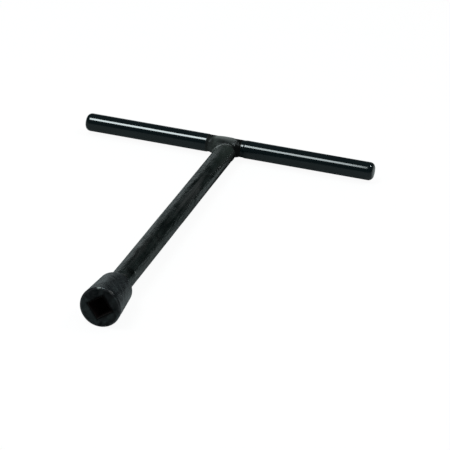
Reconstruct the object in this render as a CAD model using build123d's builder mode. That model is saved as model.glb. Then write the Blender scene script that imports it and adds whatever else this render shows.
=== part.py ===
from build123d import *
import os

# Fixed T-handle tap wrench: a long round shaft with a square-socket head at one end
# and a welded round crossbar at the other. Everything is steel, in millimetres.
#
# Frame: the origin is the centre of the square hole's mouth, in the nose face. +Y runs up
# the shaft to the crossbar, +X along the crossbar, and +Z up, square to the flat of the T.

# ---- driving dimensions ----
OVERALL_LENGTH = 280.0        # nose face to the far side of the crossbar

BAR_LENGTH = 200.0
BAR_DIAMETER = 12.2           # 12 mm round bar under enamel
BAR_OFFSET = -1.2             # the bar's middle sits this far along X from the shaft
BAR_END_RADIUS = 3.4          # rounded rim of each end

SHAFT_DIAMETER = 13.8
COPE_OVERLAP = 3.5            # how far short of the bar's axis the coped shaft stops
BEVEL_START = 12.0            # the end is bevelled for the weld from here, before the bar's axis
BEVEL_DEPTH = 2.4
SPIGOT_DIAMETER = 10.0        # turned-down end of the shaft, inside the head
SPIGOT_LENGTH = 8.8
SPIGOT_CHAMFER = 0.6

HEAD_LENGTH = 29.0
NOSE_DIAMETER = 24.2
HEAD_BACK_DIAMETER = 20.2     # the head tapers towards the shaft
NOSE_EDGE_RADIUS = 0.8
SHOULDER_RADIUS = 3.0
REAR_BORE_DIAMETER = 10.1     # takes the spigot with 0.05 mm of radial clearance
REAR_BORE_DEPTH = 9.0

SQUARE_SIZE = 10.1            # for a 10 mm tap square
SQUARE_DEPTH = 15.0
SQUARE_ANGLE = 36.0           # how the broached square is turned about the shaft
SQUARE_LEAD_IN = 0.2
PILOT_DIAMETER = 9.8          # drilled before broaching
PILOT_DEPTH = 16.5
PILOT_TIP_DEPTH = 1.8

NECK_WELD_BACK_LEG = 2.6      # bead leg along the shaft
NECK_WELD_FACE_LEG = 1.7      # bead leg on the head's back face
NECK_WELD_CROWN = 0.45        # how far the bead stands proud of a flat fillet

# The bead between shaft and crossbar, as ellipses across the shaft, from inside the shaft to
# inside the bar: distance from the bar's axis, middle along X, half width along X, half height
# along Z. It is fuller on the -X side, where the bead was started, and its toe slants with it.
BAR_WELD_SECTIONS = [
    (20.2, -0.35, 6.45, 6.30),
    (16.2, -0.75, 6.95, 6.95),
    (12.4, -1.20, 8.10, 7.35),
    (9.6, -2.20, 9.90, 7.60),
    (6.8, -2.90, 11.30, 7.60),
    (3.2, -3.00, 11.40, 7.10),
    (-0.3, -3.00, 11.40, 6.00),
]

# ---- derived sizes ----
BAR_RADIUS = BAR_DIAMETER / 2
SHAFT_RADIUS = SHAFT_DIAMETER / 2
BAR_AXIS_Y = OVERALL_LENGTH - BAR_RADIUS
BAR_START_X = BAR_OFFSET - BAR_LENGTH / 2
SPIGOT_TIP_Y = HEAD_LENGTH - SPIGOT_LENGTH


def across_shaft(y):
    """A plane square to the shaft at height y, with local X and Y along world X and Z."""
    return Plane.XZ.offset(-y)


# ---- crossbar: one round bar with rounded ends ----
with BuildPart() as crossbar:
    with BuildSketch(Plane.YZ.offset(BAR_START_X)):
        with Locations((BAR_AXIS_Y, 0)):
            Circle(BAR_RADIUS)
    extrude(amount=BAR_LENGTH)
    fillet(crossbar.edges().filter_by(GeomType.CIRCLE), radius=BAR_END_RADIUS)
crossbar.part.label = "crossbar"

# ---- shaft: round rod, bevelled and coped to the bar at the top, turned to a spigot below ----
with BuildPart() as shaft:
    with BuildSketch(Plane.XY):
        with BuildLine():
            Polyline(
                (0, SPIGOT_TIP_Y),
                (SPIGOT_DIAMETER / 2 - SPIGOT_CHAMFER, SPIGOT_TIP_Y),
                (SPIGOT_DIAMETER / 2, SPIGOT_TIP_Y + SPIGOT_CHAMFER),
                (SPIGOT_DIAMETER / 2, HEAD_LENGTH),
                (SHAFT_RADIUS, HEAD_LENGTH),
                (SHAFT_RADIUS, BAR_AXIS_Y - BEVEL_START),
                (SHAFT_RADIUS - BEVEL_DEPTH, BAR_AXIS_Y - COPE_OVERLAP),
                (0, BAR_AXIS_Y - COPE_OVERLAP),
                close=True,
            )
        make_face()
    revolve(axis=Axis.Y)
    with BuildSketch(Plane.YZ):
        with Locations((BAR_AXIS_Y, 0)):
            Circle(BAR_RADIUS)
    extrude(amount=SHAFT_DIAMETER, both=True, mode=Mode.SUBTRACT)
shaft.part.label = "shaft"

# ---- socket head: tapered sleeve, drilled and broached square at the nose ----
with BuildPart() as socket_head:
    with BuildSketch(Plane.XY):
        with BuildLine():
            Polyline(
                (PILOT_DIAMETER / 2, 0),
                (NOSE_DIAMETER / 2, 0),
                (HEAD_BACK_DIAMETER / 2, HEAD_LENGTH),
                (REAR_BORE_DIAMETER / 2, HEAD_LENGTH),
                (REAR_BORE_DIAMETER / 2, HEAD_LENGTH - REAR_BORE_DEPTH),
                (0, HEAD_LENGTH - REAR_BORE_DEPTH),
                (0, PILOT_DEPTH + PILOT_TIP_DEPTH),
                (PILOT_DIAMETER / 2, PILOT_DEPTH),
                close=True,
            )
        make_face()
    revolve(axis=Axis.Y)
    rims = socket_head.edges().filter_by(GeomType.CIRCLE).sort_by(SortBy.RADIUS)
    fillet(rims[-1], radius=NOSE_EDGE_RADIUS)
    fillet(
        socket_head.edges().filter_by(GeomType.CIRCLE).group_by(Axis.Y)[-1].sort_by(SortBy.RADIUS)[-1],
        radius=SHOULDER_RADIUS,
    )
    with BuildSketch(across_shaft(0)):
        Rectangle(SQUARE_SIZE, SQUARE_SIZE, rotation=SQUARE_ANGLE)
    extrude(amount=-SQUARE_DEPTH, mode=Mode.SUBTRACT)
    chamfer(
        socket_head.edges().filter_by(GeomType.LINE).group_by(Axis.Y)[0],
        length=SQUARE_LEAD_IN,
    )
socket_head.part.label = "socket_head"

# ---- weld bead that joins the shaft to the crossbar ----
with BuildPart() as crossbar_weld:
    for gap, middle_x, half_x, half_z in BAR_WELD_SECTIONS:
        with BuildSketch(across_shaft(BAR_AXIS_Y - gap)):
            with Locations((middle_x, 0)):
                Ellipse(half_x, half_z)
    loft()
    add(crossbar.part, mode=Mode.SUBTRACT)
    add(shaft.part, mode=Mode.SUBTRACT)
crossbar_weld.part.label = "crossbar_weld"

# ---- weld bead round the neck, between the head's back face and the shaft ----
with BuildPart() as socket_weld:
    with BuildSketch(Plane.XY):
        with BuildLine():
            inner = (SHAFT_RADIUS, HEAD_LENGTH)
            on_face = (SHAFT_RADIUS + NECK_WELD_FACE_LEG, HEAD_LENGTH)
            on_shaft = (SHAFT_RADIUS, HEAD_LENGTH + NECK_WELD_BACK_LEG)
            Line(inner, on_face)
            SagittaArc(on_face, on_shaft, NECK_WELD_CROWN)
            Line(on_shaft, inner)
        make_face()
    revolve(axis=Axis.Y)
socket_weld.part.label = "socket_weld"

# ---- one STEP file for each piece ----
os.makedirs("parts", exist_ok=True)
for piece in (crossbar, shaft, socket_head, crossbar_weld, socket_weld):
    export_step(piece.part, f"parts/{piece.part.label}.step")
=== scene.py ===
"""A fixed T-handle tap wrench in black enamel, lying on a pale floor. Blender 4.5, metres."""
import math

import bpy
from mathutils import Euler, Matrix, Vector, noise


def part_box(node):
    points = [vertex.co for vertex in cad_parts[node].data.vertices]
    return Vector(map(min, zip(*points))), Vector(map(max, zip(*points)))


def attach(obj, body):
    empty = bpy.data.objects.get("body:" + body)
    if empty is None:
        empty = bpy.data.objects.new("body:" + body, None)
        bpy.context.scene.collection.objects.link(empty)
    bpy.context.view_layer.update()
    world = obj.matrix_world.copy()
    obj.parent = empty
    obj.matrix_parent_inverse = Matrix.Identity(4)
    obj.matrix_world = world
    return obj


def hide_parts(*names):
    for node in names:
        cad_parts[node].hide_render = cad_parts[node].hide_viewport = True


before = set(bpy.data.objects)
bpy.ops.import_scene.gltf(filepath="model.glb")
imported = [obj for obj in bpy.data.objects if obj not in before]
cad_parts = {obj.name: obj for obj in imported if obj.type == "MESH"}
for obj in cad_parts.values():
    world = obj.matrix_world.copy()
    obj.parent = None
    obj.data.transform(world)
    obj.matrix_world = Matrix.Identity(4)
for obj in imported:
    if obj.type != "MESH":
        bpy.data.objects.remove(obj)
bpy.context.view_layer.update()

MM = 0.001
BODY = "root"

# ---- sizes read from the frame ----
bar_low, bar_high = (Vector(corner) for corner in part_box("crossbar"))
shaft_low, shaft_high = (Vector(corner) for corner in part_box("shaft"))
head_low, head_high = (Vector(corner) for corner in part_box("socket_head"))
BAR_RADIUS = (bar_high.z - bar_low.z) / 2
BAR_Y = (bar_high.y + bar_low.y) / 2
SHAFT_RADIUS = (shaft_high.x - shaft_low.x) / 2
HEAD_LENGTH = head_high.y
HEAD_RADIUS = (head_high.x - head_low.x) / 2

# ---- details that the frame doesn't give ----
BAR_END_RADIUS = 3.4 * MM
SPIGOT_RADIUS = 5.0 * MM
SPIGOT_CHAMFER = 0.6 * MM
COPE_OVERLAP = 3.5 * MM
NOSE_RADIUS = 12.1 * MM
NOSE_EDGE_RADIUS = 0.8 * MM
HEAD_BACK_RADIUS = 10.1 * MM
SHOULDER_RADIUS = 3.0 * MM
REAR_BORE_RADIUS = 5.05 * MM
REAR_BORE_DEPTH = 9.0 * MM
SQUARE_HALF = 5.05 * MM
SQUARE_DEPTH = 15.0 * MM
SQUARE_CORNER = 0.35 * MM
SQUARE_LEAD_IN = 0.2 * MM
SQUARE_ANGLE = math.radians(36)
PILOT_RADIUS = 4.9 * MM
PILOT_DEPTH = 16.5 * MM
PILOT_TIP_DEPTH = 18.3 * MM
TAPER = math.atan2(NOSE_RADIUS - HEAD_BACK_RADIUS, HEAD_LENGTH)
NOISE_CIRCLE = 10 * MM         # noise that only varies round an axis is read on this radius


# ---------------------------------------------------------------- mesh helpers
def mix(a, b, t):
    """The value t of the way from a to b."""
    return a + (b - a) * t


def smooth_step(low, high, value):
    """0 at low, 1 at high, with a soft start and end. low may be the larger."""
    t = min(max((value - low) / (high - low), 0.0), 1.0)
    return t * t * (3 - 2 * t)


def spread(start, end, count):
    """count + 1 evenly spaced values from start to end."""
    return [mix(start, end, i / count) for i in range(count + 1)]


def turns(count):
    """count angles, once round."""
    return [math.tau * i / count for i in range(count)]


def wobble(point, scale, seed):
    """Smooth noise from -1 to 1 that changes over about 1 / scale metres."""
    return noise.noise(point * scale + Vector((seed, 7.1 * seed, 3.3 * seed)))


def wobble_round(across, scale, seed):
    """Wobble that varies only round an axis, for the unit direction across it."""
    return wobble(across * NOISE_CIRCLE, scale, seed)


def dip(spot, depth, waves):
    """How far an uneven surface dips here: half the depth, give or take (share, scale, seed) waves."""
    return depth * (0.5 + sum(share * wobble(spot, scale, seed) for share, scale, seed in waves))


def rounded_corner(centre, radius, start, end, steps):
    """Points of an arc in a (distance along, radius) profile, angles in degrees."""
    angles = [math.radians(a) for a in spread(start, end, steps)]
    return [(centre[0] + radius * math.cos(a), centre[1] + radius * math.sin(a)) for a in angles]


def build_mesh(name, verts, faces, sharp_degrees, material_of_face=None):
    """A smooth-shaded object whose edges over this angle stay sharp."""
    mesh = bpy.data.meshes.new(name)
    mesh.from_pydata(verts, [], faces)
    mesh.validate()
    mesh.shade_smooth()
    mesh.set_sharp_from_angle(angle=math.radians(sharp_degrees))
    if material_of_face:
        mesh.polygons.foreach_set("material_index", material_of_face)
    piece = bpy.data.objects.new(name, mesh)
    bpy.context.collection.objects.link(piece)
    return piece


def skin_rings(name, rings, sharp_degrees=40, ring_material=None):
    """Closed skin over a list of rings. A ring of one point is a pole, at an end."""
    verts, faces, materials, starts = [], [], [], []
    for ring in rings:
        starts.append(len(verts))
        verts.extend(ring)
    for row in range(len(rings) - 1):
        low, high = rings[row], rings[row + 1]
        a, b = starts[row], starts[row + 1]
        count = max(len(low), len(high))
        for i in range(count):
            j = (i + 1) % count
            if len(low) == 1:
                faces.append((a, b + j, b + i))
            elif len(high) == 1:
                faces.append((a + i, a + j, b))
            else:
                faces.append((a + i, a + j, b + j, b + i))
            materials.append(ring_material(row) if ring_material else 0)
    return build_mesh(name, verts, faces, sharp_degrees, materials)


def skin_loop(name, rings, sharp_degrees=60):
    """Closed skin over rings that also join last to first, as in a torus."""
    verts = [point for ring in rings for point in ring]
    rows, count = len(rings), len(rings[0])
    faces = []
    for row in range(rows):
        following = (row + 1) % rows
        for i in range(count):
            j = (i + 1) % count
            faces.append((row * count + i, following * count + i, following * count + j, row * count + j))
    return build_mesh(name, verts, faces, sharp_degrees)


# ---------------------------------------------------------------- crossbar
BAR_AROUND = 96
BAR_STATIONS = 220
NEAR_WELD_STATIONS = 90
BAR_END_STEPS = 14
BAR_FLAT_RINGS = (0.35, 0.7)                   # as shares of the flat end's radius
BAR_UNEVENNESS = 0.035 * MM
BAR_WAVES = [(0.5, 220, 1.0)]
BAR_WAVES_SQUEEZE = 0.25                       # the waves are longer along the bar
THIN_FROM, THIN_TO = -15.0 * MM, 10.3 * MM     # the enamel is thinner near the weld
THIN_DEPTH = 0.30 * MM
THIN_STEP = 0.8 * MM                           # half the length of the step at each end
THIN_RAGGED = 0.4 * MM
THIN_SIDE = (0.2, 0.75)                        # it fades out towards the back, over this cosine


def thinning(x, angle):
    """How much enamel the weld's heat took off the crossbar here."""
    x += THIN_RAGGED * wobble_round(Vector((0, math.cos(angle), math.sin(angle))), 240, 4.0)
    rise = smooth_step(THIN_FROM - THIN_STEP, THIN_FROM + THIN_STEP, x)
    fall = 1 - smooth_step(THIN_TO - THIN_STEP, THIN_TO + THIN_STEP, x)
    facing_shaft = 1 - smooth_step(*THIN_SIDE, math.cos(angle))
    return THIN_DEPTH * rise * fall * facing_shaft


def make_crossbar():
    """Round bar with rounded ends, under enamel that is not quite even."""
    half_flat = BAR_RADIUS - BAR_END_RADIUS
    left, right = bar_low.x, bar_high.x
    profile = [(left, 0.0)]
    profile += [(left, half_flat * t) for t in BAR_FLAT_RINGS]
    profile += rounded_corner((left + BAR_END_RADIUS, half_flat), BAR_END_RADIUS, 180, 90, BAR_END_STEPS)
    stations = spread(left + BAR_END_RADIUS, right - BAR_END_RADIUS, BAR_STATIONS)[1:-1]
    near_weld = spread(THIN_FROM - 2 * THIN_STEP, THIN_TO + 2 * THIN_STEP, NEAR_WELD_STATIONS)
    stations = [x for x in stations if not near_weld[0] < x < near_weld[-1]] + near_weld
    profile += [(x, BAR_RADIUS) for x in sorted(stations)]
    profile += rounded_corner((right - BAR_END_RADIUS, half_flat), BAR_END_RADIUS, 90, 0, BAR_END_STEPS)
    profile += [(right, half_flat * t) for t in reversed(BAR_FLAT_RINGS)]
    profile += [(right, 0.0)]
    rings = []
    for x, radius in profile:
        if radius == 0.0:
            rings.append([(x, BAR_Y, 0.0)])
            continue
        ring = []
        for angle in turns(BAR_AROUND):
            across = Vector((0, math.cos(angle), math.sin(angle)))
            spot = Vector((x * BAR_WAVES_SQUEEZE, 0, 0)) + across * BAR_RADIUS
            low = dip(spot, BAR_UNEVENNESS, BAR_WAVES) * radius / BAR_RADIUS
            point = Vector((x, BAR_Y, 0)) + across * (radius - low - thinning(x, angle))
            ring.append(tuple(point))
        rings.append(ring)
    return skin_rings("enamelled_crossbar", rings)


# ---------------------------------------------------------------- shaft
SHAFT_AROUND = 96
SHAFT_STATIONS = 300
COPE_RINGS = (1.0, 0.8, 0.55, 0.3)    # as shares of the coped end's radius
SHAFT_UNEVENNESS = 0.16 * MM
SHAFT_WAVES = [(0.36, 240, 2.0), (0.14, 640, 3.0)]
SHAFT_WAVES_SQUEEZE = 0.22     # the waves are longer along the shaft
SHAFT_TOE = 16.9 * MM          # from the bar's axis to the weld's toe on top of the shaft
SHAFT_TOE_SLANT = 4.0 * MM     # the toe is further down the shaft at -X, nearer the bar at +X
SHAFT_TOE_RAGGED = 0.02
SHAFT_END_GAP = 0.5 * MM       # the last full ring is this far from the bar
BEVEL_DEPTH = 2.4 * MM         # the shaft's end is bevelled for the weld
BEVEL_SLOPE = 0.6
BEVEL_MARGIN = 0.7 * MM        # the bevel starts this far inside the weld's toe


def shaft_toe(angle):
    """Distance from the bar's axis to the weld's toe on the shaft, round the shaft."""
    c, s = math.cos(angle), math.sin(angle)
    ragged = wobble_round(Vector((c, s, 0)), 330, 11.0)
    return (SHAFT_TOE - SHAFT_TOE_SLANT * c) * (1 + SHAFT_TOE_RAGGED * ragged)


def bevel(angle, gap):
    """How far the weld preparation cuts into the shaft, at this distance from the bar's axis."""
    return min(max(BEVEL_SLOPE * (shaft_toe(angle) - BEVEL_MARGIN - gap), 0.0), BEVEL_DEPTH)


def cope_height(radius, angle):
    """Where the shaft's top end meets the bar, for a point this far from the axis."""
    z = radius * math.sin(angle)
    reach = math.sqrt(max(BAR_RADIUS ** 2 - z ** 2, 0.0))
    return BAR_Y - max(reach, COPE_OVERLAP)


def make_shaft():
    """Rolled round rod: a turned spigot at the head, a coped end at the bar."""
    tip = shaft_low.y
    rings = [[(0.0, tip, 0.0)]]
    spigot = [
        (tip, SPIGOT_RADIUS - SPIGOT_CHAMFER),
        (tip + SPIGOT_CHAMFER, SPIGOT_RADIUS),
        (HEAD_LENGTH, SPIGOT_RADIUS),
    ]
    for y, radius in spigot:
        rings.append([(radius * math.cos(a), y, radius * math.sin(a)) for a in turns(SHAFT_AROUND)])
    for y in spread(HEAD_LENGTH, BAR_Y - BAR_RADIUS - SHAFT_END_GAP, SHAFT_STATIONS):
        ring = []
        for angle in turns(SHAFT_AROUND):
            across = Vector((math.cos(angle), 0, math.sin(angle)))
            spot = across * SHAFT_RADIUS + Vector((0, y * SHAFT_WAVES_SQUEEZE, 0))
            low = dip(spot, SHAFT_UNEVENNESS, SHAFT_WAVES) + bevel(angle, BAR_Y - y)
            ring.append(tuple(Vector((0, y, 0)) + across * (SHAFT_RADIUS - low)))
        rings.append(ring)
    for share in COPE_RINGS:
        radius = (SHAFT_RADIUS - BEVEL_DEPTH) * share
        rings.append([
            (radius * math.cos(a), cope_height(radius, a), radius * math.sin(a)) for a in turns(SHAFT_AROUND)
        ])
    rings.append([(0.0, BAR_Y - BAR_RADIUS, 0.0)])
    return skin_rings("enamelled_shaft", rings)


# ---------------------------------------------------------------- socket head
HEAD_AROUND = 288
PILOT_TIP_RINGS = (0.25, 0.5, 0.75)
SQUARE_RINGS, FACE_RINGS, SIDE_RINGS, BACK_RINGS, BORE_RINGS = 30, 12, 60, 5, 6
NOSE_EDGE_STEPS, SHOULDER_STEPS = 8, 14
HEAD_UNEVENNESS = 0.10 * MM
HEAD_WAVES = [(0.35, 180, 5.0), (0.15, 700, 6.0)]
SEAM_FADE = 1.0 * MM                # the outside is even again this close to the back
OUTSIDE, FACE, INSIDE = 0, 1, 2     # the head's three materials


def square_reach(angle, half, corner):
    """Distance from the centre to a square with rounded corners, in the given direction."""
    turn = (angle - SQUARE_ANGLE) % (math.pi / 2)
    if turn > math.pi / 4:
        turn = math.pi / 2 - turn
    flat = half / math.cos(turn)
    middle = half - corner
    if flat * math.sin(turn) <= middle:
        return flat
    along = middle * (math.cos(turn) + math.sin(turn))
    off = middle * (math.cos(turn) - math.sin(turn))
    return along + math.sqrt(max(corner ** 2 - off ** 2, 0.0))


def head_edge(radius, centre_y, start, end, steps):
    """Arc tangent to the head's tapered side, as (y, radius) pairs. Angles turn from the -Y end."""
    centre = NOSE_RADIUS - centre_y * math.tan(TAPER) - radius / math.cos(TAPER)
    angles = spread(start, end, steps)
    return [(centre_y - radius * math.cos(a), centre + radius * math.sin(a)) for a in angles]


def make_socket_head():
    """Tapered sleeve with a broached square in its nose and a bore in its back."""
    rings, kinds = [], []

    def add_circle(y, radius, kind, uneven=0.0):
        ring = []
        for angle in turns(HEAD_AROUND):
            across = Vector((math.cos(angle), 0, math.sin(angle)))
            spot = across * radius + Vector((0, y, 0))
            ring.append(tuple(Vector((0, y, 0)) + across * (radius - dip(spot, uneven, HEAD_WAVES))))
        rings.append(ring)
        kinds.append(kind)

    def add_square(y, half, kind, inward=0.0):
        """inward, from 0 to 1, blends the square into the nose's circle."""
        ring = []
        for angle in turns(HEAD_AROUND):
            reach = mix(square_reach(angle, half, SQUARE_CORNER), NOSE_RADIUS - NOSE_EDGE_RADIUS, inward)
            ring.append((reach * math.cos(angle), y, reach * math.sin(angle)))
        rings.append(ring)
        kinds.append(kind)

    rings.append([(0.0, PILOT_TIP_DEPTH, 0.0)])
    kinds.append(INSIDE)
    for share in PILOT_TIP_RINGS:
        add_circle(mix(PILOT_TIP_DEPTH, PILOT_DEPTH, share), PILOT_RADIUS * share, INSIDE)
    add_circle(PILOT_DEPTH, PILOT_RADIUS, INSIDE)
    add_circle(SQUARE_DEPTH, PILOT_RADIUS, INSIDE)
    for y in spread(SQUARE_DEPTH, SQUARE_LEAD_IN, SQUARE_RINGS):
        add_square(y, SQUARE_HALF, INSIDE)
    add_square(0.0, SQUARE_HALF + SQUARE_LEAD_IN, INSIDE)
    for share in spread(0, 1, FACE_RINGS)[1:-1]:
        add_square(0.0, SQUARE_HALF + SQUARE_LEAD_IN, FACE, inward=share)
    side = math.pi / 2 + TAPER
    nose_rim = head_edge(NOSE_EDGE_RADIUS, NOSE_EDGE_RADIUS, 0, side, NOSE_EDGE_STEPS)
    for y, radius in nose_rim:
        add_circle(y, radius, OUTSIDE, HEAD_UNEVENNESS * smooth_step(0, NOSE_EDGE_RADIUS, y))
    shoulder = head_edge(SHOULDER_RADIUS, HEAD_LENGTH - SHOULDER_RADIUS, side, math.pi, SHOULDER_STEPS)
    for share in spread(0, 1, SIDE_RINGS)[1:-1]:
        y = mix(nose_rim[-1][0], shoulder[0][0], share)
        add_circle(y, NOSE_RADIUS - y * math.tan(TAPER), OUTSIDE, HEAD_UNEVENNESS)
    for y, radius in shoulder:
        add_circle(y, radius, OUTSIDE, HEAD_UNEVENNESS * smooth_step(HEAD_LENGTH, HEAD_LENGTH - SEAM_FADE, y))
    for radius in spread(shoulder[-1][1], REAR_BORE_RADIUS, BACK_RINGS)[1:]:
        add_circle(HEAD_LENGTH, radius, OUTSIDE)
    for y in spread(HEAD_LENGTH, HEAD_LENGTH - REAR_BORE_DEPTH, BORE_RINGS)[1:]:
        add_circle(y, REAR_BORE_RADIUS, INSIDE)
    rings.append([(0.0, HEAD_LENGTH - REAR_BORE_DEPTH, 0.0)])
    kinds.append(INSIDE)
    return skin_rings("broached_socket_head", rings, 35, lambda row: kinds[row + 1])


# ---------------------------------------------------------------- weld beads
WELD_AROUND = 260
WELD_ACROSS = 56
BAR_TOE_MIDDLE = -3.0 * MM                  # the bead runs further along the bar towards -X
BAR_TOE_HALF = 11.4 * MM
BAR_TOE_TURN = math.radians(94)
BAR_TOE_RAGGED = 0.04
ALONG_POWER, TURN_POWER = 0.75, 0.8         # how square the bead's outline on the bar is
BEAD_TOP = 7.6 * MM                         # control height of the bead over the shaft's top
BEAD_RIGHT = 7.0 * MM
BEAD_LEFT = 9.6 * MM
BEAD_ROOT = 5.4 * MM                        # control distance from the bar's axis
BEAD_ROOT_SLANT = 1.2 * MM                  # which is this much more at the two sides
TOE_CROWDING = 1.3                          # the bead's rings lie closer near the toe on the shaft
LIP_AT, LIP_WIDTH = 0.85 * MM, 0.70 * MM    # from the toe on the shaft
LIP_HEIGHT = 0.62 * MM
RIDGE_TURN = math.radians(70)               # where the second pass runs along the bar
RIDGE_WIDTH = math.radians(12)
RIDGE_LEFT = (-12 * MM, -8 * MM)            # X where the second pass fades in
RIDGE_RIGHT = (3 * MM, 7 * MM)              # and out
RIDGE_HEIGHT = 0.90 * MM
HOLLOW_AT, HOLLOW_WIDTH = 0.45, 0.20        # as shares of the way across the bead
HOLLOW_RIGHT, HOLLOW_LEFT = 1.75 * MM, 0.60 * MM
BEAD_LUMPS = [(0.20 * MM, 330, 13.0), (0.08 * MM, 900, 14.0)]
SHAFT_TOE_SINK = 0.25 * MM                  # both toes end just inside the steel
BAR_TOE_SINK = 0.12 * MM
UNDERCUT = 0.5 * MM                         # how far the bead's hidden side lies inside the steel


def on_bar(x, turn, radius):
    """A point at this radius round the bar; turn 0 is the side that faces the socket."""
    return Vector((x, BAR_Y - radius * math.cos(turn), radius * math.sin(turn)))


def squared(value, power):
    """value from -1 to 1, pushed towards the ends by a power under 1."""
    return math.copysign(abs(value) ** power, value)


def bead_frame(angle):
    """Toe on the shaft, control point and toe on the bar of the crossbar bead at one angle."""
    c, s = math.cos(angle), math.sin(angle)
    toe = Vector((SHAFT_RADIUS * c, BAR_Y - shaft_toe(angle), SHAFT_RADIUS * s))
    side = BEAD_RIGHT if c > 0 else BEAD_LEFT
    middle = Vector((side * c, BAR_Y - BEAD_ROOT - BEAD_ROOT_SLANT * abs(c), BEAD_TOP * s))
    ragged = wobble_round(Vector((c, s, 0)), 410, 12.0)
    along = squared(c, ALONG_POWER) * BAR_TOE_HALF * (1 + BAR_TOE_RAGGED * ragged)
    turn = BAR_TOE_TURN * squared(s, TURN_POWER)
    return toe, middle, on_bar(BAR_TOE_MIDDLE + along, turn, BAR_RADIUS)


def bezier(a, b, c, t):
    """A point of the quadratic curve from a to c with control point b."""
    return a * (1 - t) ** 2 + b * (2 * t * (1 - t)) + c * t ** 2


def bump_at(value, centre, width):
    """1 at the centre, falling off smoothly on both sides."""
    return math.exp(-((value - centre) / width) ** 2)


def bead_shape(point, angle, t, from_toe):
    """How far the crossbar bead stands off its plain curve, and how proud it is, 0 to 1.

    The first pass ends in a thin lip round the shaft. The second runs along the top of
    the bar, and a hollow lies between them.
    """
    c, s = math.cos(angle), math.sin(angle)
    ends = smooth_step(0.0, 0.06, t) * (1 - smooth_step(0.92, 1.0, t))
    lip = mix(0.15, 1.0, smooth_step(-0.3, 0.4, s)) * bump_at(from_toe, LIP_AT, LIP_WIDTH)
    hollow = mix(HOLLOW_RIGHT, HOLLOW_LEFT, smooth_step(-0.1, -0.9, c)) * bump_at(t, HOLLOW_AT, HOLLOW_WIDTH)
    turn = math.atan2(point.z, BAR_Y - point.y)
    along = smooth_step(*RIDGE_LEFT, point.x) * (1 - smooth_step(*RIDGE_RIGHT, point.x))
    ridge = bump_at(turn, RIDGE_TURN, RIDGE_WIDTH) * along
    lumps = sum(size * wobble(point, scale, seed) for size, scale, seed in BEAD_LUMPS)
    sink = SHAFT_TOE_SINK * (1 - smooth_step(0.0, 0.03, t)) + BAR_TOE_SINK * smooth_step(0.95, 1.0, t)
    height = LIP_HEIGHT * lip + (RIDGE_HEIGHT * ridge + lumps - hollow) * ends - sink
    return height, min(0.55 * lip + ridge, 1.0)


def make_crossbar_weld():
    """The two-pass fillet bead between shaft and crossbar."""
    angles = turns(WELD_AROUND)
    frames = [bead_frame(a) for a in angles]
    shares = [t ** TOE_CROWDING for t in spread(0, 1, WELD_ACROSS)]
    base = [[bezier(*frames[i], t) for i in range(WELD_AROUND)] for t in shares]
    rings, proud = [], []
    for row, t in enumerate(shares):
        before, after = base[max(row - 1, 0)], base[min(row + 1, WELD_ACROSS)]
        ring = []
        for i, angle in enumerate(angles):
            round_step = base[row][(i + 1) % WELD_AROUND] - base[row][i - 1]
            across_step = after[i] - before[i]
            outward = across_step.cross(round_step).normalized()
            spot = base[row][i]
            height, share = bead_shape(spot, angle, t, (spot - frames[i][0]).length)
            ring.append(tuple(spot + outward * height))
            proud.append(share)
        rings.append(ring)
    deep = SHAFT_RADIUS - BEVEL_DEPTH - UNDERCUT
    shallow = SHAFT_RADIUS - UNDERCUT
    hidden_bar, hidden_root, hidden_shaft = [], [], []
    for angle, (toe, _, end) in zip(angles, frames):
        c, s = math.cos(angle), math.sin(angle)
        turn = BAR_TOE_TURN * squared(s, TURN_POWER)
        hidden_bar.append(tuple(on_bar(end.x, turn, BAR_RADIUS - UNDERCUT)))
        hidden_root.append((deep * c, BAR_Y - BAR_RADIUS + UNDERCUT, deep * s))
        hidden_shaft.append((shallow * c, toe.y, shallow * s))
    piece = skin_loop("rippled_crossbar_weld", rings + [hidden_bar, hidden_root, hidden_shaft])
    mark_proud(piece, proud)
    return piece


def mark_proud(piece, values):
    """Says for each point how far it stands out, where the paint wears thin and a sheen is painted."""
    hidden = len(piece.data.vertices) - len(values)
    layer = piece.data.attributes.new("proud", "FLOAT", "POINT")
    layer.data.foreach_set("value", values + [0.0] * hidden)


NECK_AROUND = 220
NECK_ACROSS = 20
NECK_BACK_LEG = 2.6 * MM
NECK_FACE_LEG = 1.7 * MM
TAIL_ANGLE = math.radians(62)  # where the neck bead was ended, with a tail up the shaft
TAIL_LENGTH = 3.4 * MM
TAIL_WIDTH = 0.28              # radians
NECK_RAGGED = 0.10
NECK_CROWN_OUT = 1.25 * MM     # the control point of the bead's curve, from the corner it fills
NECK_CROWN_UP = 1.9 * MM
RIPPLES = 30
RIPPLE_HEIGHT = 0.16 * MM
NECK_LUMP = 0.10 * MM
NECK_LUMP_REACH = 4 * MM
NECK_TOE_SINK = 0.12 * MM


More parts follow.
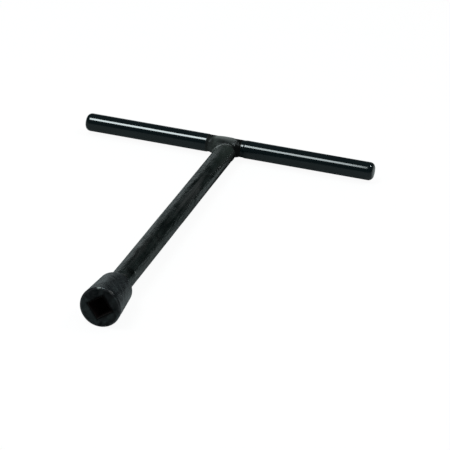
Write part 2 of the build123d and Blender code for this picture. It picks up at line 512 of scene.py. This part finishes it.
def make_socket_weld():
    """The small bead round the neck, with ripples and a tail."""
    rings = [[] for _ in range(NECK_ACROSS + 1)]
    proud = [[] for _ in range(NECK_ACROSS + 1)]
    hidden_face, hidden_root, hidden_shaft = [], [], []
    inner = SHAFT_RADIUS - UNDERCUT
    up = Vector((0, 1, 0))
    for angle in turns(NECK_AROUND):
        across = Vector((math.cos(angle), 0, math.sin(angle)))
        tail = TAIL_LENGTH * bump_at(math.remainder(angle - TAIL_ANGLE, math.tau), 0, TAIL_WIDTH)
        leg = NECK_BACK_LEG * (1 + NECK_RAGGED * wobble_round(across, 500, 21.0)) + tail
        foot = across * SHAFT_RADIUS + up * (HEAD_LENGTH + leg)
        face = across * (SHAFT_RADIUS + NECK_FACE_LEG) + up * HEAD_LENGTH
        crown = across * (SHAFT_RADIUS + NECK_CROWN_OUT) + up * (HEAD_LENGTH + NECK_CROWN_UP + 0.5 * tail)
        for row, t in enumerate(spread(0, 1, NECK_ACROSS)):
            arch = math.sin(math.pi * t)
            ripple = 0.5 + 0.5 * math.sin(RIPPLES * angle + 5 * (t - 0.4) ** 2)
            lump = NECK_LUMP * wobble(across * NOISE_CIRCLE + up * NECK_LUMP_REACH * t, 420, 22.0)
            height = (RIPPLE_HEIGHT * ripple + lump) * arch - NECK_TOE_SINK * (1 - arch) ** 4
            outward = (across + up * mix(0.2, 0.9, t)).normalized()
            rings[row].append(tuple(bezier(foot, crown, face, t) + outward * height))
            proud[row].append(0.35 * ripple * arch)
        hidden_face.append(tuple(face - up * UNDERCUT))
        hidden_root.append(tuple(across * inner + up * (HEAD_LENGTH - UNDERCUT)))
        hidden_shaft.append(tuple(across * inner + up * (HEAD_LENGTH + leg)))
    piece = skin_loop("rippled_neck_weld", rings + [hidden_face, hidden_root, hidden_shaft])
    mark_proud(piece, [share for row in proud for share in row])
    return piece


# ---------------------------------------------------------------- material helpers
NOISE_LOW, NOISE_HIGH = 0.3, 0.7    # nearly all of a noise field lies between these
MARK_CORE = 0.3                     # a mark is full within this share of its radius


def new_material(name):
    """A node material with its Principled shader and object coordinates."""
    material = bpy.data.materials.new(name)
    material.use_nodes = True
    tree = material.node_tree
    shader = tree.nodes["Principled BSDF"]
    place = tree.nodes.new("ShaderNodeTexCoord").outputs["Object"]
    return material, tree, shader, place


def noise_field(tree, place, scale, detail=3.0, roughness=0.55, distortion=0.0):
    node = tree.nodes.new("ShaderNodeTexNoise")
    node.inputs["Scale"].default_value = scale
    node.inputs["Detail"].default_value = detail
    node.inputs["Roughness"].default_value = roughness
    node.inputs["Distortion"].default_value = distortion
    tree.links.new(place, node.inputs["Vector"])
    return node.outputs["Fac"]


def drawn_noise(tree, place, squeeze, *settings):
    """Noise that is drawn out along the shaft, by 1 / squeeze."""
    node = tree.nodes.new("ShaderNodeMapping")
    node.inputs["Scale"].default_value = (1, squeeze, 1)
    tree.links.new(place, node.inputs["Vector"])
    return noise_field(tree, node.outputs["Vector"], *settings)


def remap(tree, value, low, high, to_low, to_high):
    """to_low where the value is low, to_high where it is high, and steady beyond them."""
    node = tree.nodes.new("ShaderNodeMapRange")
    node.inputs["From Min"].default_value = low
    node.inputs["From Max"].default_value = high
    node.inputs["To Min"].default_value = to_low
    node.inputs["To Max"].default_value = to_high
    tree.links.new(value, node.inputs["Value"])
    return node.outputs["Result"]


def fade(tree, value, start, end):
    """0 where the value is start, 1 where it is end. start may be the larger."""
    return remap(tree, value, start, end, 0, 1)


def varied(tree, field, low, high):
    """A noise field turned into a value that runs from low to high."""
    return remap(tree, field, NOISE_LOW, NOISE_HIGH, low, high)


def combine(tree, how, first, *others):
    """Maths on two or more values, one after another; all but the first may be numbers."""
    for other in others:
        node = tree.nodes.new("ShaderNodeMath")
        node.operation = how
        tree.links.new(first, node.inputs[0])
        if isinstance(other, (int, float)):
            node.inputs[1].default_value = other
        else:
            tree.links.new(other, node.inputs[1])
        first = node.outputs["Value"]
    return first


def multiply(tree, *values):
    return combine(tree, "MULTIPLY", *values)


def add(tree, *values):
    return combine(tree, "ADD", *values)


def distance_from(tree, value, middle):
    return combine(tree, "ABSOLUTE", combine(tree, "SUBTRACT", value, middle), 0)


def blend_colours(tree, share, first, second):
    """Colours may be tuples or sockets."""
    node = tree.nodes.new("ShaderNodeMix")
    node.data_type = "RGBA"
    tree.links.new(share, node.inputs["Factor"])
    for socket, colour in ((node.inputs["A"], first), (node.inputs["B"], second)):
        if isinstance(colour, tuple):
            socket.default_value = (*colour, 1)
        else:
            tree.links.new(colour, socket)
    return node.outputs["Result"]


def add_bump(tree, shader, height, strength, distance):
    """Bump nodes on one shader chain one after another."""
    node = tree.nodes.new("ShaderNodeBump")
    node.inputs["Strength"].default_value = strength
    node.inputs["Distance"].default_value = distance
    tree.links.new(height, node.inputs["Height"])
    normal = shader.inputs["Normal"]
    if normal.is_linked:
        tree.links.new(normal.links[0].from_socket, node.inputs["Normal"])
    tree.links.new(node.outputs["Normal"], normal)


def axis_values(tree, place):
    node = tree.nodes.new("ShaderNodeSeparateXYZ")
    tree.links.new(place, node.inputs["Vector"])
    return node.outputs["X"], node.outputs["Y"], node.outputs["Z"]


def near_point(tree, place, point, radius):
    """1 at a point on the surface, falling to 0 at the radius from it."""
    node = tree.nodes.new("ShaderNodeVectorMath")
    node.operation = "DISTANCE"
    tree.links.new(place, node.inputs[0])
    node.inputs[1].default_value = point
    return remap(tree, node.outputs["Value"], MARK_CORE * radius, radius, 1, 0)


def near_marks(tree, place, marks):
    """near_point for the nearest of several (point, radius) marks."""
    return combine(tree, "MAXIMUM", *(near_point(tree, place, *mark) for mark in marks))


def from_square(tree, place):
    """Distance from the head's axis, measured square to the nearest side of the hole."""
    turn = tree.nodes.new("ShaderNodeMapping")
    turn.inputs["Rotation"].default_value = (0, SQUARE_ANGLE, 0)
    tree.links.new(place, turn.inputs["Vector"])
    x, _, z = axis_values(tree, turn.outputs["Vector"])
    return combine(tree, "MAXIMUM", distance_from(tree, x, 0), distance_from(tree, z, 0))


# ---------------------------------------------------------------- finishes
# Colours are linear. A *_FADE is where along an axis something starts to show and where it is full.
PLAIN_SPECULAR = 0.5

GLOSSY_DARK, GLOSSY_LIGHT = (0.0008, 0.0026, 0.0033), (0.0018, 0.0041, 0.0048)
ASH_DARK, ASH_LIGHT = (0.0030, 0.0044, 0.0042), (0.0150, 0.0185, 0.0170)
# Painted shading on the ash's left edge: darker on top, lighter underneath.
ASH_EDGE_SHADED, ASH_EDGE_LIT_BELOW = (0.0026, 0.0036, 0.0034), (0.0110, 0.0138, 0.0132)
ASH_RIGHT = (0.0008, 0.0014, 0.0013)
# Rubbed steel on the ends, which also paints the pale reflection of the end faces.
RUBBED_STEEL_AND_SHEEN = (0.060, 0.064, 0.064)
DULL_LEFT_FADE = (-16.2 * MM, -15.0 * MM)                  # X: both ends of the dull zone at the weld
DULL_RIGHT_FADE = (8.5 * MM, 7.8 * MM)
DULL_FRONT_FADE = (BAR_Y + 4.5 * MM, BAR_Y + 1.5 * MM)     # Y: the bar's back stays glossy
ASH_FADE = (-16 * MM, -10 * MM)                            # X: from the ash's edge to plain ash
# painted shading: lighter underneath, darker on top
ASH_EDGE_SHADING_FADE = (2 * MM, -1.5 * MM)                       # Z: the edge is lighter underneath
ASH_RIGHT_FADE = (-2 * MM, 7 * MM)                         # X: it darkens to the right
RUBBED_SHEEN_FROM, RUBBED_SHEEN_TO = 1.0 * MM, 0.2 * MM                # before the bar's ends
DULL_ROUGHNESS = 0.5
DULL_SPECULAR = 0.05


def handle_enamel():
    """Glossy black stoving enamel: ash-dull where it is thin at the weld, with painted shading on the ash's
    left edge, and rubbed and lighter on the ends, which also paints the end faces' pale reflection.
    """
    material, tree, shader, place = new_material("handle_enamel")
    cloud = noise_field(tree, place, 90, 4)
    speckle = noise_field(tree, place, 260, 3)
    fine = noise_field(tree, place, 700, 3)
    x, y, z = axis_values(tree, place)
    dull = multiply(
        tree, fade(tree, x, *DULL_LEFT_FADE), fade(tree, x, *DULL_RIGHT_FADE), fade(tree, y, *DULL_FRONT_FADE)
    )
    ash = blend_colours(tree, fade(tree, speckle, 0.35, 0.65), ASH_DARK, ASH_LIGHT)
    # painted shading: the ash's left edge is darker on top, lighter underneath
    edge = blend_colours(tree, fade(tree, z, *ASH_EDGE_SHADING_FADE), ASH_EDGE_SHADED, ASH_EDGE_LIT_BELOW)
    ash = blend_colours(tree, fade(tree, x, *ASH_FADE), edge, ash)
    ash = blend_colours(tree, fade(tree, x, *ASH_RIGHT_FADE), ash, ASH_RIGHT)
    half_bar = (bar_high.x - bar_low.x) / 2
    from_middle = distance_from(tree, x, (bar_high.x + bar_low.x) / 2)
    # rubbed ends, also a painted reflection
    rubbed_and_sheen = fade(tree, from_middle, half_bar - RUBBED_SHEEN_FROM, half_bar - RUBBED_SHEEN_TO)
    glossy = blend_colours(tree, cloud, GLOSSY_DARK, GLOSSY_LIGHT)
    glossy = blend_colours(tree, rubbed_and_sheen, glossy, RUBBED_STEEL_AND_SHEEN)
    tree.links.new(blend_colours(tree, dull, glossy, ash), shader.inputs["Base Color"])
    rough = add(tree, varied(tree, fine, 0.07, 0.13), multiply(tree, dull, DULL_ROUGHNESS))
    tree.links.new(rough, shader.inputs["Roughness"])
    specular = remap(tree, dull, 0, 1, PLAIN_SPECULAR, DULL_SPECULAR)
    tree.links.new(specular, shader.inputs["Specular IOR Level"])
    add_bump(tree, shader, noise_field(tree, place, 120, 2), 0.05, 0.5 * MM)
    return material


SHAFT_DARK, SHAFT_PATCH = (0.0002, 0.0010, 0.0009), (0.0034, 0.0056, 0.0052)
SHAFT_HEATED = (0.0095, 0.0130, 0.0110)
SHAFT_DRAWN = (0.0150, 0.0160, 0.0158)
# Painted shade: the shaft's flank towards the crossbar is darkened and its gloss cut, for the shaded table it
# reflects.
SHAFT_FLANK_SHADE = (0.0003, 0.0005, 0.0005)
SHAFT_SHOULDER_SHADE = (0.0003, 0.0004, 0.0004)
SHAFT_GLINT = (0.050, 0.055, 0.052)
SHAFT_GREENISH, SHAFT_PINKISH = (0.72, 1.0, 0.94), (1.0, 0.92, 0.90)    # tints of its gloss
HEAT_FADE = (BAR_Y - 60 * MM, BAR_Y - 18 * MM)    # Y: towards the crossbar
DRAWN_FADE = (70 * MM, 150 * MM)                  # Y: where the drawn lines are clearest
FLANK_SHADE_FADE = (10 * MM, 200 * MM)                   # Y
SHADED_FLANK_X, SHADED_FLANK_Z = 0.878, 0.479                   # the flank with painted shade faces (SHADED_FLANK_X, 0, -SHADED_FLANK_Z)
SHADED_FLANK_SHARES = (0.50, 0.90)                        # as shares of the shaft's radius, that way
# Painted shadow of the head's shoulder on the shaft just behind it, and a painted glint beside it.
SHOULDER_SHADE_SPOT = ((4.4 * MM, 42 * MM, 5.3 * MM), 5.0 * MM)
GLINT_SPOT = ((5.9 * MM, 45.6 * MM, 3.6 * MM), 1.1 * MM)


def shaft_enamel():
    """Black enamel over rolled rod: streaked, mottled and pitted, with drawn lines along it.

    It is greyer and rougher towards the crossbar. One flank has painted shade, darker and less glossy,
    for the shaded table it reflects. Near the neck are a painted shadow behind the head's
    shoulder and a painted glint.
    """
    material, tree, shader, place = new_material("shaft_enamel")
    streaks = drawn_noise(tree, place, 0.16, 250, 5, 0.6, 0.4)
    blotches = drawn_noise(tree, place, 0.5, 190, 4, 0.6, 0.8)
    skin = drawn_noise(tree, place, 0.22, 210, 5, 0.68, 0.7)
    runs = drawn_noise(tree, place, 0.05, 300, 3, 0.5, 0.3)
    lines = drawn_noise(tree, place, 0.03, 460, 2, 0.5, 0.2)
    fine = noise_field(tree, place, 1500, 4)
    x, y, z = axis_values(tree, place)
    heat = fade(tree, y, *HEAT_FADE)
    patches = fade(tree, blotches, 0.38, 0.66)
    drawn = multiply(tree, fade(tree, lines, 0.47, 0.66), remap(tree, y, *DRAWN_FADE, 0.25, 1.0))
    sideways = combine(
        tree, "SUBTRACT",
        multiply(tree, x, SHADED_FLANK_X / SHAFT_RADIUS), multiply(tree, z, SHADED_FLANK_Z / SHAFT_RADIUS),
    )
    # painted shade on the flank facing +X and down, growing towards the crossbar
    flank_shade = multiply(tree, fade(tree, sideways, *SHADED_FLANK_SHARES), fade(tree, y, *FLANK_SHADE_FADE))
    # painted shadow behind the head's shoulder: darker and without gloss
    shoulder_shade = multiply(tree, near_point(tree, place, *SHOULDER_SHADE_SPOT), remap(tree, skin, 0.35, 0.6, 1.0, 0.5))
    colour = blend_colours(tree, patches, SHAFT_DARK, SHAFT_PATCH)
    for share, over in (
        (heat, SHAFT_HEATED),
        (drawn, SHAFT_DRAWN),
        (multiply(tree, flank_shade, flank_shade), SHAFT_FLANK_SHADE),
        (shoulder_shade, SHAFT_SHOULDER_SHADE),
        (near_point(tree, place, *GLINT_SPOT), SHAFT_GLINT),
    ):
        colour = blend_colours(tree, share, colour, over)
    tree.links.new(colour, shader.inputs["Base Color"])
    rough = add(
        tree, varied(tree, streaks, 0.13, 0.25), varied(tree, fine, -0.03, 0.03),
        multiply(tree, patches, 0.09), multiply(tree, heat, 0.10),
    )
    tree.links.new(rough, shader.inputs["Roughness"])
    shine = multiply(
        tree, remap(tree, skin, 0.36, 0.64, 0.25, 1.10), remap(tree, runs, 0.40, 0.60, 0.30, 1.15),
        remap(tree, flank_shade, 0, 1, 1, 0.02), remap(tree, shoulder_shade, 0, 1, 1, 0.05),
    )
    tree.links.new(shine, shader.inputs["Specular IOR Level"])
    tint = blend_colours(tree, fade(tree, skin, 0.40, 0.60), SHAFT_GREENISH, SHAFT_PINKISH)
    tree.links.new(tint, shader.inputs["Specular Tint"])
    add_bump(tree, shader, blotches, 0.8, 0.6 * MM)
    add_bump(tree, shader, streaks, 0.9, 0.8 * MM)
    add_bump(tree, shader, fine, 0.12, 0.08 * MM)
    return material


WELD_DARK, WELD_LIGHT = (0.0008, 0.0018, 0.0016), (0.0042, 0.0064, 0.0058)
WELD_DUST = (0.0180, 0.0230, 0.0205)
# Worn paint and painted sheen: the proud lip, ridge and ripple crests are much lighter.
WELD_WORN_AND_SHEEN = (0.085, 0.094, 0.088)
# Painted shade in the crease right of the shaft: darker, with its gloss cut.
WELD_RIGHT_SHADE = (0.0010, 0.0013, 0.0013)
WELD_DUST_LEFT_FADE = (-13.2 * MM, -9.2 * MM)    # X
WELD_DUST_RIGHT_FADE = (-4.0 * MM, -9.0 * MM)
WELD_RIGHT_SHADE_FADE = (3.0 * MM, 6.6 * MM)            # X
WELD_RIGHT_SHADE_RAGGED = 2.0 * MM
WELD_RIGHT_SHADE_SPECULAR = 0.10


def weld_enamel():
    """The same enamel over the weld metal: worn thin and grey where it stands proud, which also paints a
    sheen on the lip and ridge.

    It is dusty to the left of the shaft. To the right it has painted shade, darker and less glossy, in the
    crease between bead and bar.
    """
    material, tree, shader, place = new_material("weld_enamel")
    blotches = noise_field(tree, place, 260, 4)
    fine = noise_field(tree, place, 1700, 3)
    proud = tree.nodes.new("ShaderNodeAttribute")
    proud.attribute_name = "proud"
    x, _, _ = axis_values(tree, place)
    # worn paint and painted sheen on the proud parts
    worn_and_sheen = multiply(tree, proud.outputs["Fac"], varied(tree, blotches, 0.55, 1.0))
    dusty = multiply(
        tree, fade(tree, x, *WELD_DUST_LEFT_FADE), fade(tree, x, *WELD_DUST_RIGHT_FADE),
        varied(tree, blotches, 0.5, 1.0),
    )
    # painted shade to the right of the shaft
    right_shade = fade(tree, add(tree, x, multiply(tree, blotches, WELD_RIGHT_SHADE_RAGGED)), *WELD_RIGHT_SHADE_FADE)
    colour = blend_colours(tree, varied(tree, blotches, 0, 1), WELD_DARK, WELD_LIGHT)
    for share, over in ((dusty, WELD_DUST), (worn_and_sheen, WELD_WORN_AND_SHEEN), (right_shade, WELD_RIGHT_SHADE)):
        colour = blend_colours(tree, share, colour, over)
    tree.links.new(colour, shader.inputs["Base Color"])
    specular = remap(tree, right_shade, 0, 1, PLAIN_SPECULAR, WELD_RIGHT_SHADE_SPECULAR)
    tree.links.new(specular, shader.inputs["Specular IOR Level"])
    rough = add(tree, varied(tree, blotches, 0.34, 0.46), multiply(tree, worn_and_sheen, 0.2))
    tree.links.new(rough, shader.inputs["Roughness"])
    add_bump(tree, shader, fine, 0.15, 0.1 * MM)
    return material


HEAD_DARK, HEAD_LIGHT = (0.0022, 0.0031, 0.0035), (0.0080, 0.0102, 0.0112)
NOSE_DARK, NOSE_LIGHT = (0.0002, 0.0010, 0.0013), (0.0014, 0.0034, 0.0036)
HEAD_PINKISH, HEAD_BLUISH = (1.0, 0.86, 0.90), (0.86, 0.98, 1.0)    # tints of its gloss
# Chipped and scraped paint that also paints two glints on the nose's rim.
CHIP_STEEL_AND_GLINT = (0.095, 0.115, 0.110)
SCRAPE_GREY_AND_GLINT = (0.026, 0.027, 0.027)
CHIPS_AND_GLINTS = [((-1.8 * MM, 0.0, 11.7 * MM), 1.2 * MM), ((-0.9 * MM, 0.2 * MM, 11.9 * MM), 0.8 * MM)]
SCRAPE_AND_GLINT = [((5.2 * MM, 0.2 * MM, 10.9 * MM), 1.3 * MM), ((6.2 * MM, 0.3 * MM, 10.1 * MM), 1.3 * MM)]


def socket_black(name, dark, light, rough_low, rough_high, shine):
    """Blue-black satin on turned steel, chipped and scraped at the nose's edge; the lighter chips and scrape
    are also painted glints on the rim.
    """
    material, tree, shader, place = new_material(name)
    blotches = noise_field(tree, place, 190, 5, 0.62, 0.9)
    skin = noise_field(tree, place, 110, 4, 0.6, 1.2)
    fine = noise_field(tree, place, 1400, 4)
    patches = fade(tree, blotches, 0.36, 0.66)
    colour = blend_colours(tree, patches, dark, light)
    # chips and scrape, also painted glints
    colour = blend_colours(tree, near_marks(tree, place, CHIPS_AND_GLINTS), colour, CHIP_STEEL_AND_GLINT)
    colour = blend_colours(tree, near_marks(tree, place, SCRAPE_AND_GLINT), colour, SCRAPE_GREY_AND_GLINT)
    tree.links.new(colour, shader.inputs["Base Color"])
    tree.links.new(remap(tree, patches, 0, 1, rough_low, rough_high), shader.inputs["Roughness"])
    specular = remap(tree, skin, 0.36, 0.62, 0.1 * shine, shine)
    tree.links.new(specular, shader.inputs["Specular IOR Level"])
    tint = blend_colours(tree, fade(tree, skin, 0.40, 0.58), HEAD_PINKISH, HEAD_BLUISH)
    tree.links.new(tint, shader.inputs["Specular Tint"])
    add_bump(tree, shader, skin, 0.35, 0.8 * MM)
    add_bump(tree, shader, blotches, 0.10, 0.5 * MM)
    add_bump(tree, shader, fine, 0.03, 0.1 * MM)
    return material


HOLE_RIM_DARK = (0.0004, 0.0003, 0.0004)
HOLE_RIM_FADE = (SQUARE_HALF + 1.6 * MM, SQUARE_HALF + 0.4 * MM)    # from_square
HOLE_RIM_SPECULAR = 0.1                                             # as a share of the plain one


def nose_face_black():
    """The faced-off nose: faint turning rings under the blacking, and darker and less glossy round the hole.
    """
    material = socket_black("nose_face_black", NOSE_DARK, NOSE_LIGHT, 0.30, 0.46, 0.5)
    tree = material.node_tree
    shader = tree.nodes["Principled BSDF"]
    place = tree.nodes.new("ShaderNodeTexCoord").outputs["Object"]
    hole_rim = fade(tree, from_square(tree, place), *HOLE_RIM_FADE)
    base, specular = shader.inputs["Base Color"], shader.inputs["Specular IOR Level"]
    rim_darkened = blend_colours(tree, hole_rim, base.links[0].from_socket, HOLE_RIM_DARK)
    dulled = multiply(tree, specular.links[0].from_socket, remap(tree, hole_rim, 0, 1, 1, HOLE_RIM_SPECULAR))
    tree.links.new(rim_darkened, base)
    tree.links.new(dulled, specular)
    rings = tree.nodes.new("ShaderNodeTexWave")
    rings.wave_type = "RINGS"
    rings.rings_direction = "Y"
    rings.inputs["Scale"].default_value = 420
    rings.inputs["Distortion"].default_value = 1.5
    tree.links.new(place, rings.inputs["Vector"])
    add_bump(tree, shader, rings.outputs["Fac"], 0.12, 0.06 * MM)
    return material


INSIDE_DARK, INSIDE_BROWN = (0.0016, 0.0014, 0.0015), (0.0050, 0.0032, 0.0032)
INSIDE_SPECULAR = 0.15


def inside_steel():
    """Inside the socket: oiled, browned steel with broaching marks along the hole."""
    material, tree, shader, place = new_material("inside_steel")
    stain = noise_field(tree, place, 320, 4)
    marks = drawn_noise(tree, place, 0.08, 1600, 3)
    colour = blend_colours(tree, varied(tree, stain, 0, 1), INSIDE_DARK, INSIDE_BROWN)
    tree.links.new(colour, shader.inputs["Base Color"])
    tree.links.new(varied(tree, marks, 0.35, 0.55), shader.inputs["Roughness"])
    shader.inputs["Specular IOR Level"].default_value = INSIDE_SPECULAR
    add_bump(tree, shader, marks, 0.3, 0.1 * MM)
    return material


# ---------------------------------------------------------------- camera, lights and floor
CAMERA_AIM = Vector((32.4 * MM, 143.4 * MM, 0))
CAMERA_DISTANCE = 1.2863
CAMERA_AZIMUTH = math.radians(13.41)
CAMERA_ELEVATION = math.radians(23.02)
CAMERA_ROLL = math.radians(5.16)
CAMERA_LENS = 168.5


def place_camera():
    """Low over the socket end and a little to the right, through a long lens, slightly rolled."""
    data = bpy.data.cameras.new("camera")
    data.lens = CAMERA_LENS
    camera = bpy.data.objects.new("camera", data)
    bpy.context.collection.objects.link(camera)
    turn = Euler((math.pi / 2 - CAMERA_ELEVATION, 0, CAMERA_AZIMUTH)).to_matrix()
    turn = turn @ Matrix.Rotation(CAMERA_ROLL, 3, "Z")
    spot = CAMERA_AIM + turn @ Vector((0, 0, CAMERA_DISTANCE))
    camera.matrix_world = Matrix.Translation(spot) @ turn.to_4x4()
    bpy.context.scene.camera = camera


LIGHT_TINT = (0.87, 0.985, 1.0)    # daylight tubes: a little cyan
# Name, place and target from the crossbar's middle, size and power.
LIGHTS = [
    ("softbox", (-0.46, -0.60, 1.12), (-0.46, 0, 0), (0.38, 0.50), 11.0),
    ("softbox_side", (-0.19, -0.67, 1.12), (-0.19, 0, 0), (0.16, 0.50), 2.9),
    ("right_lamp", (0.51, 0.12, 0.90), (0.10, 0, 0), (0.14, 0.14), 4.0),
    ("left_card", (-1.00, 2.20, 0.36), (0, 0, 0), (1.30, 0.70), 1.15),
]


def place_lights():
    """Two softboxes in front of the crossbar, a small lamp to the right and a pale card behind."""
    middle = Vector((0, BAR_Y, 0))
    for name, place, target, size, power in LIGHTS:
        data = bpy.data.lights.new(name, "AREA")
        data.shape = "RECTANGLE"
        data.size, data.size_y = size
        data.energy = power
        data.color = LIGHT_TINT
        light = bpy.data.objects.new(name, data)
        bpy.context.collection.objects.link(light)
        light.location = middle + Vector(place)
        light.rotation_euler = (Vector(target) - Vector(place)).to_track_quat("-Z", "Y").to_euler()


# Brightness of the dim room that the enamel reflects, against height from nadir to zenith.
ROOM_TONES = [(0.0, 0.24), (0.36, 0.19), (0.47, 0.12), (0.52, 0.07), (0.60, 0.03), (0.80, 0.04), (1.0, 0.07)]
PALE = (0.93, 0.93, 0.93, 1)       # the backdrop, and the floor's own glow


def make_room():
    """Pale all round for the floor and the camera, but dim where gloss reflects it."""
    world = bpy.data.worlds.new("room")
    world.use_nodes = True
    tree = world.node_tree
    room = tree.nodes["Background"]
    _, _, height = axis_values(tree, tree.nodes.new("ShaderNodeTexCoord").outputs["Generated"])
    ramp = tree.nodes.new("ShaderNodeValToRGB")
    stops = ramp.color_ramp.elements
    stops[0].position, stops[-1].position = ROOM_TONES[0][0], ROOM_TONES[-1][0]
    for place, _ in ROOM_TONES[1:-1]:
        stops.new(place)
    for stop, (_, tone) in zip(stops, ROOM_TONES):
        stop.color = (*(tone * part for part in LIGHT_TINT), 1)
    tree.links.new(fade(tree, height, -1, 1), ramp.inputs["Fac"])
    tree.links.new(ramp.outputs["Color"], room.inputs["Color"])
    backdrop = tree.nodes.new("ShaderNodeBackground")
    backdrop.inputs["Color"].default_value = PALE
    choice = tree.nodes.new("ShaderNodeMixShader")
    tree.links.new(tree.nodes.new("ShaderNodeLightPath").outputs["Is Glossy Ray"], choice.inputs["Fac"])
    tree.links.new(backdrop.outputs["Background"], choice.inputs[1])
    tree.links.new(room.outputs["Background"], choice.inputs[2])
    tree.links.new(choice.outputs["Shader"], tree.nodes["World Output"].inputs["Surface"])
    bpy.context.scene.world = world
    bpy.context.scene.view_settings.view_transform = "Standard"


FLOOR_HALF = 4.0
FLOOR_GAP = 0.10 * MM
FLOOR_BASE = (0.04, 0.04, 0.04)                  # it glows for the camera, so little light is added
TABLE_DARK, TABLE_LIGHT = (0.135, 0.150, 0.150), (0.175, 0.195, 0.195)    # the floor in reflections
# painted shadow of the tool on the table, seen only in reflections
TABLE_SHADE = 0.72                               # it is darker between crossbar and head
TABLE_BAR_FADE = (BAR_Y - 110 * MM, BAR_Y - 15 * MM)
TABLE_HEAD_MIDDLE = 10 * MM
TABLE_HEAD_FADE = (35 * MM, 75 * MM)             # distance from the head's middle


def make_floor():
    """A pale sheet that touches the head's nose rim and the crossbar's weld, as the tool lies.

    It glows for the camera and is a dim table in reflections.
    """
    weld_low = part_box("crossbar_weld")[0]
    lean = math.asin((HEAD_RADIUS + weld_low[2]) / (BAR_Y - BAR_RADIUS))
    drop = HEAD_RADIUS / math.cos(lean) + FLOOR_GAP
    verts = []
    for x in (-FLOOR_HALF, FLOOR_HALF):
        for y in (-FLOOR_HALF, FLOOR_HALF):
            verts.append((x, y, y * math.tan(lean) - drop))
    floor = build_mesh("floor", verts, [(0, 2, 3, 1)], 30)
    material, tree, shader, place = new_material("floor_white")
    grain = noise_field(tree, place, 25, 3)
    in_gloss = tree.nodes.new("ShaderNodeLightPath").outputs["Is Glossy Ray"]
    _, y, _ = axis_values(tree, place)
    # painted shadow of the tool on the table, seen only in reflections
    near_bar = remap(tree, y, *TABLE_BAR_FADE, TABLE_SHADE, 1)
    near_head = remap(tree, distance_from(tree, y, TABLE_HEAD_MIDDLE), *TABLE_HEAD_FADE, 1, TABLE_SHADE)
    table = blend_colours(tree, grain, TABLE_DARK, TABLE_LIGHT)
    table = blend_colours(tree, combine(tree, "MAXIMUM", near_bar, near_head), (0.0, 0.0, 0.0), table)
    tree.links.new(blend_colours(tree, in_gloss, FLOOR_BASE, table), shader.inputs["Base Color"])
    shader.inputs["Emission Color"].default_value = PALE
    tree.links.new(fade(tree, in_gloss, 1, 0), shader.inputs["Emission Strength"])
    shader.inputs["Roughness"].default_value = 0.9
    shader.inputs["Specular IOR Level"].default_value = 0.1
    floor.data.materials.append(material)


# ---------------------------------------------------------------- the scene
def show(piece, node, slot, *materials):
    """Puts a finished piece in the place of its CAD node."""
    for material in materials:
        piece.data.materials.append(material)
    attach(piece, BODY)
    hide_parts(node)


place_camera()
place_lights()
make_room()
make_floor()
show(make_crossbar(), "crossbar", "handle_enamel", handle_enamel())
show(make_shaft(), "shaft", "shaft_enamel", shaft_enamel())
show(
    make_socket_head(), "socket_head", "socket_black",
    socket_black("socket_black", HEAD_DARK, HEAD_LIGHT, 0.20, 0.38, 1.0),
    nose_face_black(),
    inside_steel(),
)
weld_finish = weld_enamel()
show(make_crossbar_weld(), "crossbar_weld", "weld_enamel", weld_finish)
show(make_socket_weld(), "socket_weld", "weld_enamel", weld_finish)
